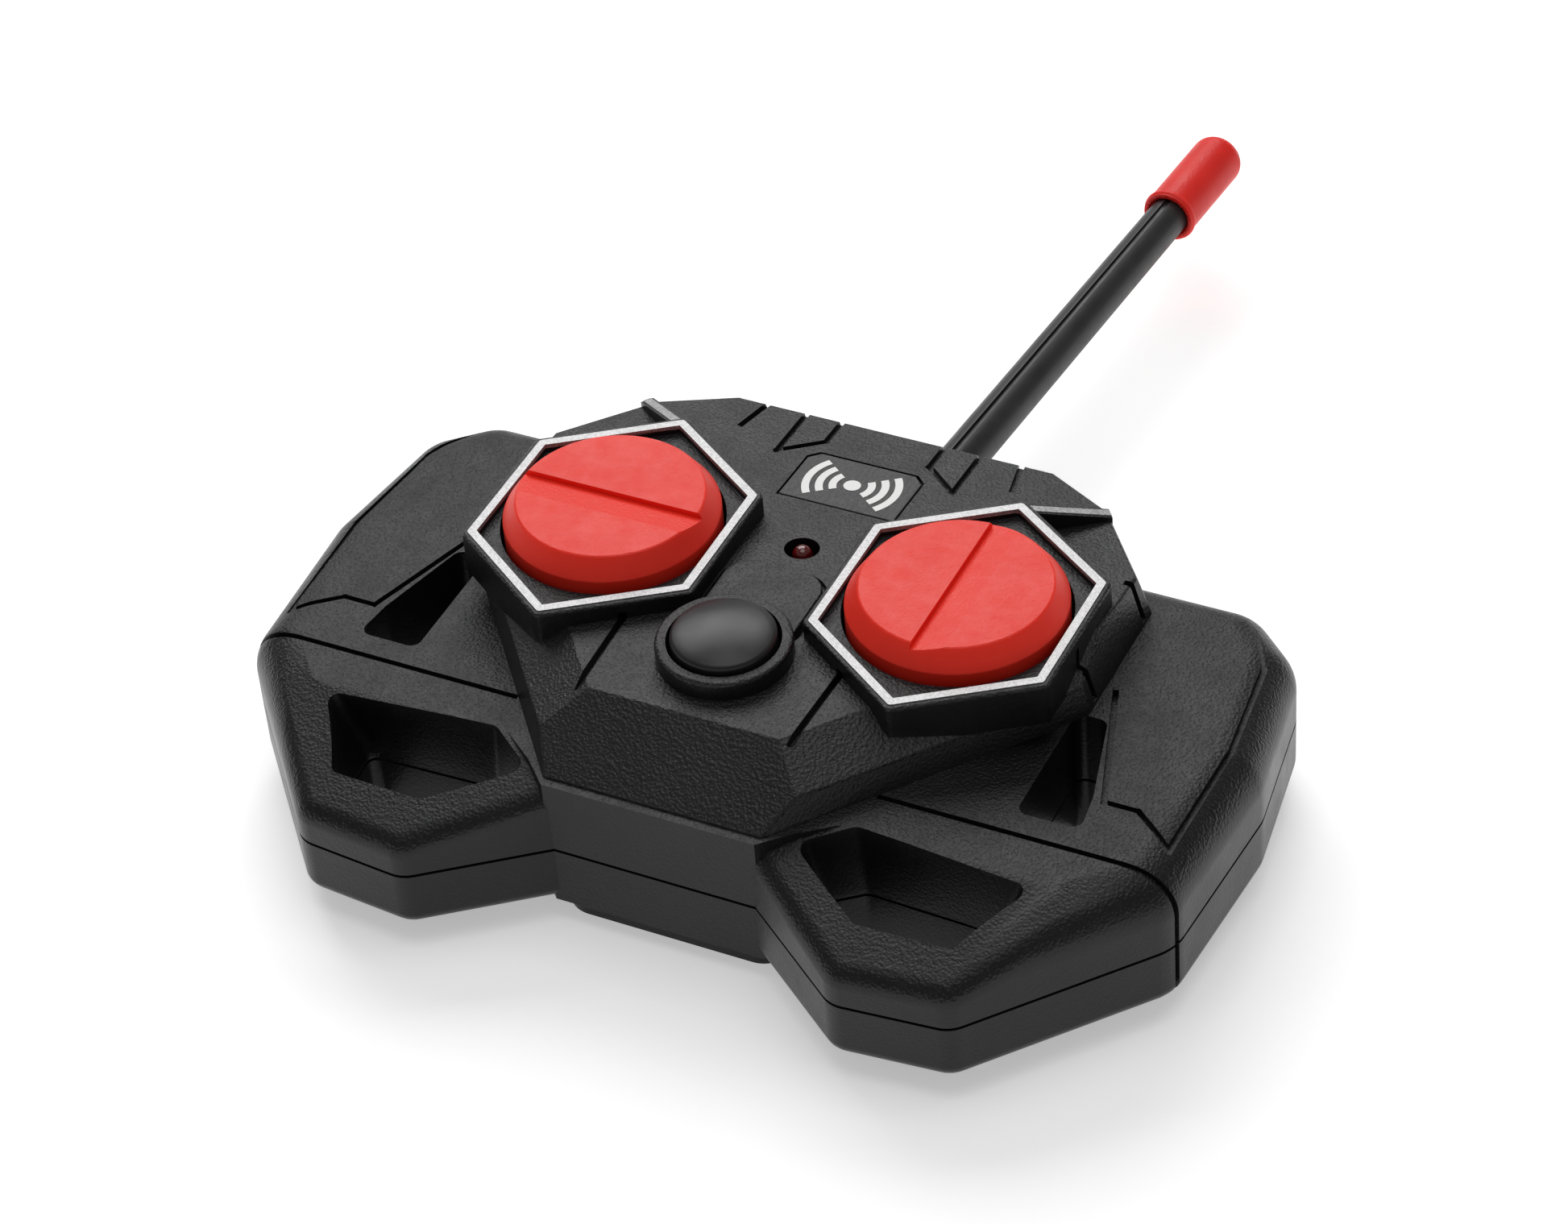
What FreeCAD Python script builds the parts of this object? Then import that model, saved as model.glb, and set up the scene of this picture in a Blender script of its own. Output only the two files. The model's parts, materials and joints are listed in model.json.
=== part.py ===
import FreeCAD, Part
import math
import os

V = FreeCAD.Vector

# ---- overall case, mm; +X right hand, +Y away from the user, +Z up, origin on the table ----
half_width = 74.0
nose_half = 16.4
nose_y = -38.0
horn_tip_y = -51.0
horn_in_x = 33.0
horn_out_x = 50.0
shoulder_in = 2.0
shoulder_x = half_width - shoulder_in
shoulder_y = -24.0
grip_back_y = 34.5
grip_back_in = 12.0
grip_back_x = half_width - grip_back_in
shoulder_tuck = 1.2
shoulder_back = 8.0
waist_x = 45.5
waist_y = 33.5
wing_root_x = 9.0
rear_y = 44.8
rear_half = 25.5
case_bottom = 4.0
parting_z = 13.5
wing_top = 26.0
horn_slope_y = -30.0
horn_slope = 0.31
wall = 2.0
corner_r = 4.5
top_round = 3.6
bottom_round = 2.4
grip_round = 7.0
grip_corner_r = 8.0
panel_line_w = 0.9
panel_line_d = 0.8
seam_w = 0.5
seam_d = 0.55

# ---- openings through the wings ----
loop_in_x = 20.0
loop_in_y = -34.5
loop_front_y = -44.8
loop_back_y = -29.5
loop_mid_x = 33.0
loop_out_x = 47.5
loop_end_x = 55.5
loop_hole_x = 49.5
loop_wall_x = 28.0
window_in_x = 46.8
window_out_x = 56.3
window_front_y = -19.0
window_back_y = 2.5
window_top_x = 51.5
pad_margin = 4.6
pad_window_gap = 0.9
pad_shoulder_gap = 6.2
opening_r = 1.6
funnel_front = 4.0
funnel_in = 3.0
funnel_z = 14.8

# ---- hood over the middle of the case ----
hood_front_y = -36.6
hood_nose_half = 16.8
hood_side_y = -2.5
hood_side_x = 44.8
hood_half = 48.6
hood_flank_y = 3.0
hood_flank_back_y = 26.0
hood_corner_x = 37.5
hood_corner_y = 40.0
hood_back_y = 46.0
hood_back_half = 26.0
hood_lean = 2.6
hood_top = 34.0
deck_start_y = 8.0
deck_drop = 3.0
brow_y = -26.0
brow_z = 33.2
flank_slope = 0.52
hood_wall = 2.0
hood_round = 0.7

# ---- lines, tab and label on the hood ----
crease_slot_w = 1.1
crease_slot_d = 1.5
crease_slot_y = -9.5
deck_line_w = 1.0
deck_line_d = 0.9
label_half_x = 9.2
label_half_y = 5.8
label_nick = 1.6
label_y = 30.0
label_t = 0.8
label_gap = 0.3
notch_x = 14.2
notch_y = 34.0
notch_tip_x = label_half_x - 0.8
notch_tip_y = label_y + 8.8
rear_line_x = 20.4
rear_line_tip_x = 22.0
rear_line_tip_y = 38.0
tab_half = 7.6
tab_front_y = -9.0
tab_back_y = 7.0
tab_corner_r = 4.0
tab_rise = 0.9
tab_line_w = 0.7
tab_line_d = 0.8
flank_line_w = 1.1
flank_line_in = 2.5

# ---- hexagonal bezels and the two rockers ----
rocker_x = 27.2
rocker_y = 6.9
bezel_top = 36.9
bezel_trim_w = 1.25
bezel_margin = 0.175
bezel_trim_h = 0.7
bezel_floor = 35.5
rocker_r = 15.9
rocker_clear = 0.55
hex_side_share = 0.632
hex_tip_share = 1.304
rocker_wall_top = 37.3
rocker_top = 40.3
plateau_r = 13.8
rocker_skin = 2.0
rocker_skirt = 33.4
hex_flat = rocker_r + rocker_clear + bezel_trim_w / 2 + bezel_margin
hex_side = hex_flat * hex_side_share
hex_tip = hex_flat * hex_tip_share
finger_groove_w = 4.0
finger_groove_d = 0.9
pivot_z = 34.0
pin_r = 1.0
pin_len = 13.0
running = 0.05
post_w = 4.6
post_t = 5.0
post_gap = 0.4
post_top = 36.0
ear_t = 3.0
plunger_r = 2.0
plunger_arm = 9.0
dome_gap = 1.25
branch_x = 37.6
branch_y = 37.6
branch_z = 32.4
plinth_extra = 0.8
plinth_round = 0.5
plinth_drop = 0.15
rib_drop = 6.0
groove_steep_share = 0.2
crown_round = 0.5
ear_half = 2.4
ear_drop = 2.2
post_foot_half = 5.5
post_foot_t = 1.2

# ---- centre push button ----
button_y = -12.0
button_r = 7.6
button_clear = 0.6
ring_wall = 1.6
ring_bore_r = button_r + button_clear
ring_r = ring_bore_r + ring_wall
ring_top = 36.9
button_shoulder = 37.9
button_crown = 39.3
button_catch = 1.1
button_flange_r = ring_bore_r + button_catch
button_flange_t = 1.3
button_flange_gap = 0.3
button_round = 0.8
button_roof = 1.2
button_cup_r = 4.4
button_plunger_r = 1.5
button_play = 0.3
button_travel = 1.2
spring_r = 3.1
spring_wire_r = 0.42
spring_turns = 4
spring_gap = 0.05
wire_sides = 8
ring_round = 0.6

# ---- board and electronics ----
board_t = 1.6
board_inset = 5.0
ledge = 3.0
dome_h = 1.6
dome_r = 3.0
dome_top_r = 1.8
button_dome_r = 2.55
led_y = 13.0
led_r = 1.5
led_hole_r = 2.6
led_base_z = 29.6
led_body_h = 2.8
led_flange = 0.4
led_flange_h = 0.9
led_lead_x = 1.2
led_lead_r = 0.25
led_lead_hole_r = 0.4
chip_l = 19.0
chip_w = 7.0
chip_h = 3.4
chip_y = 2.0
chip_standoff = 0.6
chip_legs = 8
chip_leg_pitch = 2.54
chip_leg_w = 0.5
chip_leg_t = 0.7
chip_leg_h = 2.2
crystal_x = 17.0
crystal_y = 14.0
crystal_l = 11.0
crystal_w = 4.6
crystal_h = 4.0
crystal_r = 2.0
coil_y = 20.0
coil_core_r = 2.2
coil_core_h = 6.5
coil_r = 3.6
coil_h = 4.5
coil_lift = 1.0
capacitor_r = 2.5
capacitor_h = 6.0
capacitor_round = 0.4
capacitor_front_y = -6.0
capacitor_back_y = 24.5
resistor_r = 1.1
resistor_l = 5.5
resistor_x = 5.5
resistor_y = 20.0
resistor_lift = 0.2
resistor_pitch = 3.2
resistor_count = 4
board_part_gap = 3.5

# ---- battery bay, along Y under the board ----
cell_r = 7.1
cell_len = 50.0
cell_gap = 0.25
cell_side_gap = 0.75
cell_lift = 0.7
door_t = 1.6
bay_half = 2 * cell_r + cell_gap + cell_side_gap
bay_front = -32.5
bay_back = 25.0
bay_wall = 2.3
bay_shell_clear = 0.3
tub_front = bay_front - bay_wall
tub_back = bay_back + bay_wall
tub_half = bay_half + bay_wall
cell_z = door_t + cell_lift + cell_r
cell_headroom = 1.5
bay_roof = cell_z + cell_r + cell_headroom
foot_front = -35.6
foot_overlap = 3.0
wire_r = 0.6
board_part_x = tub_half + board_part_gap
door_front = -27.0
door_tongue = 1.0
door_tongue_lift = 0.6
door_clear = 0.3
door_grip_half = 6.0
door_grip_w = 0.8
door_grip_d = 0.5
door_grip_pitch = 2.0
door_grips = 4
door_grip_back = 8.0
cell_nub_r = 2.6
cell_nub_l = 1.2
cell_back_gap = 3.0
contact_half = 5.0
contact_t = 0.4
contact_back_gap = 1.0
contact_front_gap = 0.4
contact_spring_r = 3.2
contact_wire_r = 0.35
contact_turns = 4
flat_contact_reach = 2.0
flat_contact_turns = 2

# ---- antenna ----
antenna_yaw = 4.9
antenna_x = 1.2
antenna_y = 30.0
antenna_z = 16.0
antenna_len = 119.5
antenna_r0 = 3.5
antenna_taper = 0.3
antenna_r1 = antenna_r0 - antenna_taper
flute_w = 0.9
flute_d = 0.7
cap_len = 20.0
cap_wall = 0.8
cap_r = antenna_r0 + cap_wall
cap_bore = 15.0
cap_round = 2.6
cap_lip_r = 0.6
cap_lip_in = 0.35
cap_lip_start = 0.7
cap_seat_gap = 0.3
flute_start = 6.0
grip_fit = 0.02
antenna_clear = 0.5
socket_wall = 1.9
socket_r = antenna_r0 + socket_wall
socket_y = 34.0
socket_len = 7.5
cradle_t = 2.5
cradle_in = 2.0

# ---- fixings ----
screw_r = 1.3
screw_head_r = screw_r + 1.4
screw_head_t = 2.0
screw_seat_z = 8.0
boss_r = screw_head_r + 0.9
grip_boss_in = 11.0
grip_boss_x = half_width - grip_boss_in
grip_boss_back_y = 20.0
grip_boss_front_y = -13.0
rear_boss_x = 30.0
rear_boss_y = 35.0
screw_shank = 13.0
screw_slot_w = 0.8
screw_slot_l = 4.0
screw_slot_d = 0.8
screw_play = 0.2
screw_head_play = 0.4


def save(name, shape):
    shape.exportStep("parts/" + name + ".step")


def rounded_wire(corners, radius, z):
    """Closed outline through the corners, every corner eased by the same arc."""
    return eased_wire(corners, [radius] * len(corners), z)


def eased_wire(corners, radii, z):
    """Closed outline through the corners, each corner eased by its own arc."""
    count = len(corners)
    edges = []
    ends = []
    for i in range(count):
        here = V(corners[i][0], corners[i][1], z)
        before = V(corners[i - 1][0], corners[i - 1][1], z) - here
        after = V(corners[(i + 1) % count][0], corners[(i + 1) % count][1], z) - here
        before.normalize()
        after.normalize()
        turn = before.getAngle(after)
        radius = radii[i]
        cut = radius / math.tan(turn / 2)
        start = here + before * cut
        finish = here + after * cut
        bisector = before + after
        bisector.normalize()
        middle = here + bisector * (radius / math.sin(turn / 2) - radius)
        edges.append(Part.Arc(start, middle, finish).toShape())
        ends.append((start, finish))
    lines = []
    for i in range(count):
        lines.append(Part.makeLine(ends[i - 1][1], ends[i][0]))
    ring = []
    for i in range(count):
        ring.append(lines[i])
        ring.append(edges[i])
    return Part.Wire(Part.__sortEdges__(ring))


def sharp_wire(corners, z):
    points = [V(x, y, z) for x, y in corners]
    return Part.makePolygon(points + [points[0]])


def both_sides(right_half):
    """Right half outline, front to back, joined to its mirror image."""
    left_half = [(-x, y) for x, y in reversed(right_half)]
    return right_half + left_half


def prism(wire, height):
    return Part.Face(wire).extrude(V(0, 0, height))


def box(x0, x1, y0, y1, z0, z1):
    return Part.makeBox(x1 - x0, y1 - y0, z1 - z0, V(x0, y0, z0))


def rod(radius, height, x, y, z):
    return Part.makeCylinder(radius, height, V(x, y, z))


def mirrored(shape):
    return shape.mirror(V(0, 0, 0), V(1, 0, 0))


def pair(shape):
    return shape.fuse(mirrored(shape))


def keep_below(shape, point, normal):
    """Trim away everything on the outer side of a plane."""
    size = 400.0
    axis = V(*normal)
    axis.normalize()
    cutter = Part.makeBox(size, size, size, V(-size / 2, -size / 2, 0))
    turn = FreeCAD.Rotation(V(0, 0, 1), axis)
    cutter.Placement = FreeCAD.Placement(V(*point), turn)
    return shape.cut(cutter)


def strip(x0, y0, x1, y1, width, z0, z1):
    """Upright bar of constant width between two plan points."""
    run = math.hypot(x1 - x0, y1 - y0)
    bar = Part.makeBox(run + width, width, z1 - z0, V(-width / 2, -width / 2, 0))
    turn = FreeCAD.Rotation(V(0, 0, 1), math.degrees(math.atan2(y1 - y0, x1 - x0)))
    bar.Placement = FreeCAD.Placement(V(x0, y0, z0), turn)
    return bar


def path_strips(points, width, z0, z1):
    bars = []
    for start, end in zip(points[:-1], points[1:]):
        bars.append(strip(start[0], start[1], end[0], end[1], width, z0, z1))
    return bars[0].multiFuse(bars[1:])


# ---------------------------------------------------------------- wings
def wing_corners():
    """Right wing: horn at the front, grip at the side; its inner end is buried in the body."""
    return [(wing_root_x, nose_y + 5.0), (horn_in_x, horn_tip_y), (horn_out_x, horn_tip_y + 1.5),
            (shoulder_x, shoulder_y), (half_width, (shoulder_y + grip_back_y) / 3),
            (shoulder_x - shoulder_tuck, grip_back_y - shoulder_back), (grip_back_x, grip_back_y),
            (waist_x, waist_y), (wing_root_x, waist_y)]


def body_corners():
    return both_sides([
        (nose_half, nose_y), (loop_in_x + 0.5, loop_in_y + 0.5), (loop_wall_x, loop_back_y + 1.0),
        (window_in_x - wall, window_front_y + 2.0), (waist_x, waist_y - 4.0),
        (hood_corner_x - 1.0, hood_corner_y - 1.5), (rear_half, rear_y)])


def loop_corners():
    return [(loop_in_x, loop_in_y), (loop_mid_x, loop_front_y), (loop_out_x, loop_front_y + 0.6),
            (loop_end_x, loop_back_y - 2.0), (loop_wall_x, loop_back_y)]


def window_corners():
    return [(window_in_x, window_front_y), (window_out_x, window_front_y),
            (window_out_x - 0.8, window_front_y + 6.5), (window_top_x, window_back_y),
            (window_in_x, window_back_y)]


def wing_face(z):
    """Wing outline: small arcs round the horn and the root, wide ones round the grip."""
    radii = [corner_r] * 3 + [grip_corner_r] * 4 + [corner_r] * 2
    return Part.Face(eased_wire(wing_corners(), radii, z))


def body_face(z):
    return Part.Face(sharp_wire(body_corners(), z))


def wing_core(inset, z0, z1):
    """Inside of a wing at an even distance from its outline and its openings."""
    sheet = wing_face(z0).makeOffset2D(-inset)
    for corners in (loop_corners(), window_corners()):
        hole = Part.Face(rounded_wire(corners, opening_r, z0))
        sheet = sheet.cut(hole.makeOffset2D(inset))
    core = sheet.extrude(V(0, 0, z1 - z0))
    return core


def case_core(inset, z0, z1, slope_drop):
    wing = slope_trim(wing_core(inset, z0, z1), slope_drop)
    body = body_face(z0).makeOffset2D(-inset).extrude(V(0, 0, z1 - z0))
    blocked = []
    for corners in (loop_corners(), window_corners()):
        hole = Part.Face(rounded_wire(corners, opening_r, z0))
        blocked.append(hole.makeOffset2D(inset).extrude(V(0, 0, z1 - z0)))
    body = body.cut(pair(blocked[0].fuse(blocked[1])))
    return body.fuse(pair(wing))


def slope_trim(shape, lower):
    run = V(0, -horn_slope, 1)
    run.normalize()
    return keep_below(shape, (0, horn_slope_y, wing_top - lower), (run.x, run.y, run.z))


def loop_hole_corners():
    """Foot of the funnel: the way right through each wing."""
    return [(loop_in_x + funnel_in, loop_in_y), (loop_mid_x + funnel_in / 3, loop_front_y + funnel_front),
            (loop_hole_x - 1.0, loop_front_y + funnel_front), (loop_hole_x, loop_back_y - 1.0),
            (loop_wall_x + 1.0, loop_back_y - 0.3)]


def opening_cutters():
    base = case_bottom - 1.0
    rim = rounded_wire(loop_corners(), opening_r, wing_top + 1.0)
    foot = rounded_wire(loop_hole_corners(), opening_r, funnel_z)
    funnel = Part.makeLoft([foot, rim], True, True)
    hole = prism(rounded_wire(loop_hole_corners(), opening_r, base), funnel_z + 0.1 - base)
    window = prism(rounded_wire(window_corners(), opening_r, base), wing_top + 1.0 - base)
    return pair(funnel.fuse(hole).fuse(window))


def grip_barrel(inset):
    """Block with a well rounded upper outer edge that shapes the grip and runs out over the horn."""
    shoulder = V(shoulder_x, shoulder_y, 0)
    tip = V(horn_out_x, horn_tip_y + 1.5, 0)
    beyond = tip + (tip - shoulder) * 0.8
    corners = [(wing_root_x, beyond.y), (beyond.x, beyond.y), (shoulder_x, shoulder_y)]
    corners += wing_corners()[4:7]
    corners += [(wing_root_x, waist_y + 1.0)]
    sheet = Part.Face(rounded_wire(corners, grip_corner_r, case_bottom)).makeOffset2D(-inset)
    barrel = sheet.extrude(V(0, 0, wing_top - inset - case_bottom))
    return barrel.makeFillet(grip_round - inset, top_edges(barrel))


def top_edges(shape):
    chosen = []
    for face in shape.Faces:
        if face.normalAt(0, 0).z > 0.5:
            chosen.extend(face.OuterWire.Edges)
    return chosen


def upper_block():
    level = wing_face(parting_z).extrude(V(0, 0, wing_top - parting_z))
    level = level.makeFillet(top_round, top_edges(level))
    sloped = slope_trim(wing_face(parting_z).extrude(V(0, 0, 3 * wing_top)), 0.0)
    sloped = sloped.makeFillet(top_round, top_edges(sloped))
    wing = level.common(sloped).common(grip_barrel(0.0))
    body = body_face(parting_z).extrude(V(0, 0, wing_top - parting_z))
    return body.fuse(pair(wing))


def surface_lines(shape):
    """Panel lines cut a little way into the top of each wing."""
    base = parting_z - 1.0
    core = wing_face(base).makeOffset2D(-panel_line_d).extrude(V(0, 0, wing_top - panel_line_d - base))
    core = slope_trim(core, panel_line_d).common(grip_barrel(panel_line_d))
    joint = grip_joint().cut(core)
    outer = half_width - pad_margin
    inner = window_out_x + pad_window_gap
    step = inner + 5.0
    corner_y = shoulder_y + pad_shoulder_gap
    route = [(inner - 7.0, window_back_y + 6.0), (inner, corner_y + 5.0), (step, corner_y + 5.0),
             (outer - 0.8, corner_y), (outer, (shoulder_y + grip_back_y) / 3),
             (outer - 2.0, grip_back_y - 13.0), (grip_back_x + 0.5, grip_back_y - 4.0)]
    pad = path_strips(route, panel_line_w, wing_top - 1.5 * panel_line_d, wing_top + 1.0)
    return shape.cut(pair(joint.fuse(pad)))


def case_seam():
    """Fine groove all round the case where its two halves meet."""
    side = half_width + 1.0
    band = box(-side, side, horn_tip_y - 1.0, rear_y + 2.0, parting_z - 1.0, parting_z + seam_w)
    return band.cut(case_core(seam_d, parting_z - 2.0, parting_z + 2.0, 0.0))


def grip_joint():
    """Thin slab across the wing where the horn meets the grip."""
    front = shoulder_y + panel_line_w / 2
    return box(loop_wall_x, half_width + 1.0, front, front + panel_line_w, case_bottom - 1.0, wing_top + 1.0)


def screw_places():
    return [(grip_boss_x, grip_boss_back_y), (grip_boss_x, grip_boss_front_y), (rear_boss_x, rear_boss_y)]


def screw_columns(radius, z0, z1):
    columns = []
    for x, y in screw_places():
        columns.append(rod(radius, z1 - z0, x, y, z0))
        columns.append(rod(radius, z1 - z0, -x, y, z0))
    return columns[0].multiFuse(columns[1:])


def antenna_frame(shape):
    turn = FreeCAD.Rotation(V(0, 0, 1), -antenna_yaw).multiply(FreeCAD.Rotation(V(1, 0, 0), -90))
    shape.Placement = FreeCAD.Placement(V(antenna_x, antenna_y, antenna_z), turn)
    return shape


def upper_case():
    shell = upper_block()
    cavity = case_core(wall, parting_z - 1.0, wing_top - wall, wall * 1.1)
    posts = screw_columns(boss_r, parting_z, wing_top - wall + 0.5)
    barrel = grip_barrel(wall)
    middle = box(-hood_half, hood_half, horn_tip_y, hood_back_y, case_bottom, wing_top)
    cavity = cavity.common(barrel.fuse(mirrored(barrel)).fuse(middle))
    shell = shell.cut(cavity.cut(posts))
    shell = shell.cut(opening_cutters())
    well = Part.Face(sharp_wire(hood_corners(), parting_z - 1.0)).makeOffset2D(-board_inset - ledge)
    shell = shell.cut(well.extrude(V(0, 0, wing_top)))
    shell = surface_lines(shell).cut(case_seam())
    shell = shell.cut(screw_columns(screw_r, parting_z - 1.0, wing_top - wall))
    return shell.cut(antenna_channel())


def lower_case():
    height = parting_z - case_bottom
    wing = wing_face(case_bottom).extrude(V(0, 0, height))
    sole = [e for e in wing.Edges if e.BoundBox.ZMax < case_bottom + 0.1]
    wing = wing.makeFillet(bottom_round, sole)
    shell = body_face(case_bottom).extrude(V(0, 0, height)).fuse(pair(wing))
    foot = box(-tub_half, tub_half, foot_front, tub_back, 0.0, case_bottom + foot_overlap)
    uprights = [e for e in foot.Edges if e.BoundBox.ZLength > case_bottom]
    foot = foot.makeFillet(corner_r, uprights)
    shell = shell.fuse(foot)
    cavity = case_core(wall, case_bottom + wall, parting_z + 1.0, 0.0)
    posts = screw_columns(boss_r, case_bottom, parting_z)
    keep = posts.fuse(box(-tub_half, tub_half, tub_front, tub_back, 0.0, parting_z))
    shell = shell.cut(cavity.cut(keep))
    inside = body_face(parting_z).makeOffset2D(-wall - bay_shell_clear).extrude(V(0, 0, bay_roof - parting_z))
    shell = shell.fuse(box(-tub_half, tub_half, tub_front, tub_back, parting_z, bay_roof).common(inside))
    shell = shell.cut(box(-bay_half, bay_half, bay_front, bay_back, door_t + door_clear, bay_roof + 1.0))
    shell = shell.cut(door_space())
    shell = shell.cut(opening_cutters())
    shell = shell.cut(screw_columns(screw_r + screw_play, case_bottom - 1.0, parting_z + 1.0))
    shell = shell.cut(screw_columns(screw_head_r + screw_head_play, case_bottom - 1.0, screw_seat_z))
    skin = wing_face(case_bottom + panel_line_d).makeOffset2D(-panel_line_d).extrude(V(0, 0, wing_top))
    shell = shell.cut(pair(grip_joint().cut(skin)))
    shell = shell.fuse(antenna_cradle())
    shell = shell.cut(antenna_frame(Part.makeCylinder(socket_r + grip_fit, socket_y + socket_len - antenna_y)))
    return shell.cut(antenna_channel())


def antenna_cradle():
    front = socket_y + cradle_in
    left = antenna_x - socket_r
    right = antenna_x + socket_r + 1.0
    return box(left, right, front, front + cradle_t, case_bottom + 1.0, parting_z)


def antenna_channel():
    """Clear way for the antenna through the back wall of the case."""
    return antenna_frame(Part.makeCylinder(antenna_r0 + antenna_clear, 2 * (rear_y - antenna_y)))


def door_space():
    """Slideway left in the foot for the battery door and its tongues."""
    deep = door_t + door_clear
    side = bay_half + door_clear
    lane = box(-side, side, door_front - door_clear, tub_back + 1.0, -1.0, deep)
    reach = side + door_tongue
    low = door_tongue_lift - door_clear
    rails = box(-reach, reach, door_front - door_clear, tub_back + 1.0, low, deep)
    return lane.fuse(rails)


def battery_door():
    plate = box(-bay_half, bay_half, door_front, tub_back, 0.0, door_t)
    reach = bay_half + door_tongue
    tongue = box(-reach, reach, door_front, tub_back, door_tongue_lift, door_t)
    door = plate.fuse(tongue)
    grip_lines = []
    for i in range(door_grips):
        y = bay_back - door_grip_back + door_grip_pitch * i
        grip_lines.append(box(-door_grip_half, door_grip_half, y, y + door_grip_w, -door_grip_d, door_grip_d))
    return door.cut(grip_lines[0].multiFuse(grip_lines[1:]))


# ---------------------------------------------------------------- hood
def hood_corners():
    return both_sides([
        (hood_nose_half, hood_front_y), (hood_side_x, hood_side_y), (hood_half, hood_flank_y),
        (hood_half, hood_flank_back_y), (hood_corner_x, hood_corner_y), (hood_back_half, hood_back_y)])


def hood_block(inset):
    base = Part.Face(sharp_wire(hood_corners(), wing_top))
    lower = base
    if inset > 0:
        lower = base.makeOffset2D(-inset)
    upper = base.makeOffset2D(-inset - hood_lean)
    upper.translate(V(0, 0, hood_top + 1.0 - wing_top))
    block = Part.makeLoft([lower.OuterWire, upper.OuterWire], True, True)
    block = block.common(box(-half_width, half_width, horn_tip_y, hood_back_y, wing_top, hood_top - inset))
    brow = V(0, brow_z - wing_top, -(brow_y - hood_front_y))
    nose_normal = V(0, -brow.y, -brow.z)
    nose_normal.normalize()
    anchor = V(0, hood_front_y, wing_top + 0.3) - nose_normal * inset
    block = keep_below(block, tuple(anchor), tuple(nose_normal))
    dx = hood_side_x - hood_nose_half
    dy = hood_side_y - hood_front_y
    run = math.hypot(dx, dy)
    flank = V(dy / run * flank_slope, -dx / run * flank_slope, 1)
    flank.normalize()
    mirror_flank = V(-flank.x, flank.y, flank.z)
    edge = V(hood_nose_half - 0.7, brow_y, brow_z) - flank * inset
    block = keep_below(block, tuple(edge), tuple(flank))
    block = keep_below(block, (-edge.x, edge.y, edge.z), tuple(mirror_flank))
    deck = V(0, deck_drop, hood_back_y - deck_start_y)
    deck.normalize()
    start = V(0, deck_start_y, hood_top) - deck * inset
    return keep_below(block, tuple(start), tuple(deck))


def hex_corners():
    return [(rocker_x, rocker_y - hex_tip), (rocker_x + hex_flat, rocker_y - hex_side),
            (rocker_x + hex_flat, rocker_y + hex_side), (rocker_x, rocker_y + hex_tip),
            (rocker_x - hex_flat, rocker_y + hex_side), (rocker_x - hex_flat, rocker_y - hex_side)]


def hex_prism(offset, z0, z1):
    face = Part.Face(sharp_wire(hex_corners(), z0))
    grown = face.makeOffset2D(offset)
    return grown.extrude(V(0, 0, z1 - z0))


def branch_bar(width, lift0, lift1):
    """Bar running on from the hexagon's inner side, falling to the back corner."""
    start = V(rocker_x, rocker_y + hex_tip, 0)
    end = V(branch_x, branch_y, 0)
    run = (end - start).Length
    top = bezel_top - bezel_trim_h
    low = branch_z - bezel_trim_h
    side = [V(-1.0, 0, top + lift0), V(run, 0, low + lift0), V(run, 0, low + lift1), V(-1.0, 0, top + lift1)]
    face = Part.Face(Part.makePolygon(side + [side[0]]))
    bar = face.extrude(V(0, width, 0))
    bar.translate(V(0, -width / 2, 0))
    angle = math.degrees(math.atan2(end.y - start.y, end.x - start.x))
    bar.Placement = FreeCAD.Placement(start, FreeCAD.Rotation(V(0, 0, 1), angle)).multiply(bar.Placement)
    return bar


def bezel_trim():
    half = bezel_trim_w / 2
    base = bezel_top - bezel_trim_h
    ring = hex_prism(half, base, bezel_top).cut(hex_prism(-half, base - 1.0, bezel_top + 1.0))
    arm = branch_bar(bezel_trim_w, 0.0, bezel_trim_h)
    arm = arm.cut(hex_prism(-half, base - 3.0, bezel_top + 1.0))
    return ring.fuse(arm).removeSplitter()


def deck_z(y):
    return hood_top - deck_drop * (y - deck_start_y) / (hood_back_y - deck_start_y)


def deck_grooves():
    low = deck_z(hood_back_y) - deck_line_d
    notch = [(notch_x, hood_back_y), (notch_x, notch_y), (notch_tip_x, notch_tip_y), (notch_tip_x, hood_back_y)]
    lines = path_strips(notch, deck_line_w, low, hood_top)
    rear = strip(rear_line_x, hood_back_y, rear_line_tip_x, rear_line_tip_y, deck_line_w, low, hood_top)
    lines = lines.fuse(rear).cut(hood_block(deck_line_d))
    slot = strip(nose_half + crease_slot_w / 2, crease_slot_y, nose_half, brow_y + 1.0,
                 crease_slot_w, hood_top - crease_slot_d, hood_top + 1.0)
    y = hood_flank_y + flank_line_in
    front = strip(hood_half - hood_lean, y, 2 * hood_half, y, flank_line_w, wing_top + 0.5, hood_top + 1.0)
    back = front.copy()
    back.translate(V(0, hood_flank_back_y - hood_flank_y - 2 * flank_line_in, 0))
    flank = front.fuse(back).cut(hood_block(deck_line_d))
    return pair(lines.fuse(slot).fuse(flank)).fuse(tab_line())


def tab_line():
    """Groove that outlines the raised tab behind the button."""
    outside = prism(tab_outline(tab_line_w), tab_rise + tab_line_d + 1.0)
    return outside.cut(prism(tab_outline(0.0), tab_rise + tab_line_d + 1.0))


def tab_outline(grow):
    half = tab_half + grow
    back = tab_back_y + grow
    corners = [(-half, tab_front_y), (half, tab_front_y), (half, back), (-half, back)]
    return rounded_wire(corners, tab_corner_r + grow, hood_top - tab_line_d)


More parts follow.
